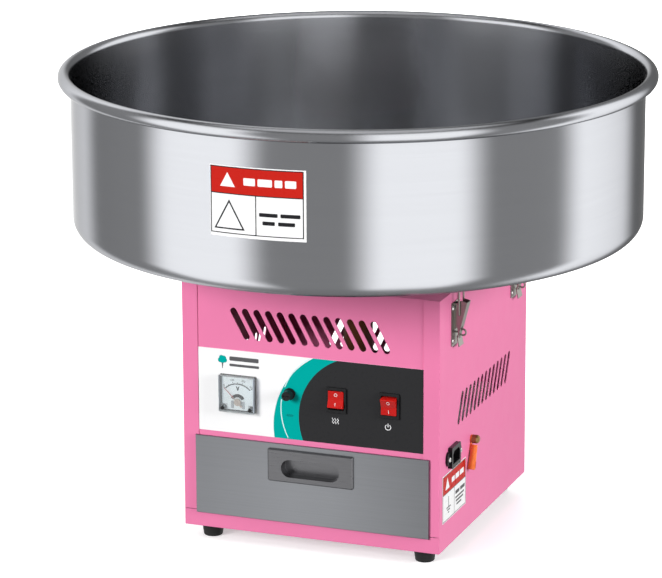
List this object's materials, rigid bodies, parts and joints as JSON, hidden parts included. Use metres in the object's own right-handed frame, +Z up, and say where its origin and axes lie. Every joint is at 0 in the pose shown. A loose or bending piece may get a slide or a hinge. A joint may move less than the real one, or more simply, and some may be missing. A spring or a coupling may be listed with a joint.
{
  "type": "cotton candy machine",
  "caption": "Counter-top cotton candy machine: wide steel bowl on a square painted housing, with spinner head, toggle latches, control panel and drawer.",
  "frame": {"origin": "on the floor, on the axis of the bowl and the spinner, under the centre of the housing", "axes": "+Z up, -Y towards the control panel and drawer, +X towards the side with the mains inlet"},
  "size_m": [0.72, 0.72, 0.564],
  "materials": {
    "pink_paint": "gloss powder coat",
    "galvanised": "galvanised sheet",
    "bowl_steel": "spun and brushed stainless",
    "seat_steel": "satin stainless",
    "rubber": "matt black",
    "screw_steel": "zinc plated",
    "blackened_steel": "blackened",
    "overlay_film": "printed film",
    "label_film": "printed film",
    "black_plastic": "moulded",
    "dial_card": "printed card",
    "clear_cover": "clear moulded",
    "needle_paint": "dark red",
    "fuse_glass": "clear",
    "red_rocker": "translucent red",
    "brass": "dulled",
    "pin_brass": "nickel plated",
    "orange_sleeve": "insulating sleeve",
    "latch_steel": "bright plated",
    "drawer_steel": "brushed stainless",
    "motor_paint": "dark painted casting",
    "shaft_steel": "ground steel",
    "insulator": "phenolic",
    "carbon": "carbon",
    "head_aluminium": "turned",
    "element_ribbon": "heat tinted ribbon",
    "mesh_steel": "punched stainless",
    "terminal_nylon": "natural nylon"
  },
  "bodies": {
    "housing": {"base_tray": "pink_paint", "side_panel_right": "pink_paint", "side_panel_left": "pink_paint", "front_panel": "pink_paint", "back_panel": "pink_paint", "top_plate": "pink_paint", "bay_shelf": "galvanised", "drawer_rails": "galvanised", "motor_mount_plate": "galvanised", "bowl_seat": "seat_steel", "feet": "rubber", "seat_gasket": "rubber", "motor_isolators": "rubber", "machine_screws": "screw_steel", "latch_rivets": "screw_steel", "voltmeter_screws": "blackened_steel", "control_overlay": "overlay_film", "side_label": "label_film", "voltmeter_case": "black_plastic", "fuse_holder_body": "black_plastic", "heat_switch_body": "black_plastic", "power_switch_body": "black_plastic", "mains_inlet": "black_plastic", "voltmeter_dial": "dial_card", "voltmeter_window": "clear_cover", "earth_stud": "brass", "inlet_pins": "pin_brass", "earth_terminal": "orange_sleeve", "latch_bases": "latch_steel", "motor": "motor_paint", "brush_holder": "insulator", "brushes": "carbon", "terminal_block": "terminal_nylon"},
    "bowl": {"bowl_shell": "bowl_steel", "bowl_catches": "screw_steel", "bowl_label": "label_film"},
    "drawer": {"drawer_box": "galvanised", "drawer_front": "drawer_steel", "drawer_pull": "drawer_steel"},
    "spinner": {"drive_shaft": "shaft_steel", "slip_ring_hub": "insulator", "slip_rings": "brass", "head_base": "head_aluminium", "heating_element": "element_ribbon", "mesh_band": "mesh_steel", "head_cap": "head_aluminium", "head_nut": "shaft_steel"},
    "heat_rocker": {"heat_rocker": "red_rocker"},
    "power_rocker": {"power_rocker": "red_rocker"},
    "fuse_carrier": {"fuse_cap": "black_plastic", "fuse": "fuse_glass"},
    "meter_needle": {"voltmeter_needle": "needle_paint"},
    "lever_front_right": {"latch_lever_front_right": "latch_steel"},
    "bail_front_right": {"latch_bail_front_right": "latch_steel"},
    "lever_back_right": {"latch_lever_back_right": "latch_steel"},
    "bail_back_right": {"latch_bail_back_right": "latch_steel"},
    "lever_front_left": {"latch_lever_front_left": "latch_steel"},
    "bail_front_left": {"latch_bail_front_left": "latch_steel"},
    "lever_back_left": {"latch_lever_back_left": "latch_steel"},
    "bail_back_left": {"latch_bail_back_left": "latch_steel"}
  },
  "joints": [
    {"name": "bowl_lift", "type": "slide", "parent": "housing", "child": "bowl", "axis": [0, 0, 1], "range_m": [0, 0.25]},
    {"name": "drawer_slide", "type": "slide", "parent": "housing", "child": "drawer", "axis": [0, -1, 0], "range_m": [0, 0.23]},
    {"name": "spinner_spin", "type": "hinge", "parent": "housing", "child": "spinner", "pos_m": [0, 0, 0.3], "axis": [0, 0, 1], "continuous": true},
    {"name": "heat_rocker_tilt", "type": "hinge", "parent": "housing", "child": "heat_rocker", "pos_m": [0.034, -0.163, 0.1955], "axis": [1, 0, 0], "range_deg": [0, 22]},
    {"name": "power_rocker_tilt", "type": "hinge", "parent": "housing", "child": "power_rocker", "pos_m": [0.1005, -0.163, 0.1955], "axis": [1, 0, 0], "range_deg": [-22, 0]},
    {"name": "fuse_carrier_pull", "type": "slide", "parent": "housing", "child": "fuse_carrier", "axis": [0, -1, 0], "range_m": [0, 0.04]},
    {"name": "meter_needle_swing", "type": "hinge", "parent": "housing", "child": "meter_needle", "pos_m": [-0.0913, -0.1696, 0.1803], "axis": [0, 1, 0], "range_deg": [0, 90]},
    {"name": "lever_front_right_open", "type": "hinge", "parent": "housing", "child": "lever_front_right", "pos_m": [0.174, -0.1134, 0.311], "axis": [0, -1, 0], "range_deg": [0, 95]},
    {"name": "bail_front_right_swing", "type": "hinge", "parent": "lever_front_right", "child": "bail_front_right", "pos_m": [0.171, -0.1134, 0.301], "axis": [0, -1, 0], "range_deg": [-81, 0]},
    {"name": "lever_back_right_open", "type": "hinge", "parent": "housing", "child": "lever_back_right", "pos_m": [0.174, 0.1134, 0.311], "axis": [0, -1, 0], "range_deg": [0, 95]},
    {"name": "bail_back_right_swing", "type": "hinge", "parent": "lever_back_right", "child": "bail_back_right", "pos_m": [0.171, 0.1134, 0.301], "axis": [0, -1, 0], "range_deg": [-81, 0]},
    {"name": "lever_front_left_open", "type": "hinge", "parent": "housing", "child": "lever_front_left", "pos_m": [-0.174, -0.1134, 0.311], "axis": [0, 1, 0], "range_deg": [0, 95]},
    {"name": "bail_front_left_swing", "type": "hinge", "parent": "lever_front_left", "child": "bail_front_left", "pos_m": [-0.171, -0.1134, 0.301], "axis": [0, 1, 0], "range_deg": [-81, 0]},
    {"name": "lever_back_left_open", "type": "hinge", "parent": "housing", "child": "lever_back_left", "pos_m": [-0.174, 0.1134, 0.311], "axis": [0, 1, 0], "range_deg": [0, 95]},
    {"name": "bail_back_left_swing", "type": "hinge", "parent": "lever_back_left", "child": "bail_back_left", "pos_m": [-0.171, 0.1134, 0.301], "axis": [0, 1, 0], "range_deg": [-81, 0]}
  ],
  "couplings": [
    {"joint": "bail_front_right_swing", "follows": "lever_front_right_open", "ratio": -0.845},
    {"joint": "bail_back_right_swing", "follows": "lever_back_right_open", "ratio": -0.845},
    {"joint": "bail_front_left_swing", "follows": "lever_front_left_open", "ratio": -0.845},
    {"joint": "bail_back_left_swing", "follows": "lever_back_left_open", "ratio": -0.845}
  ]
}
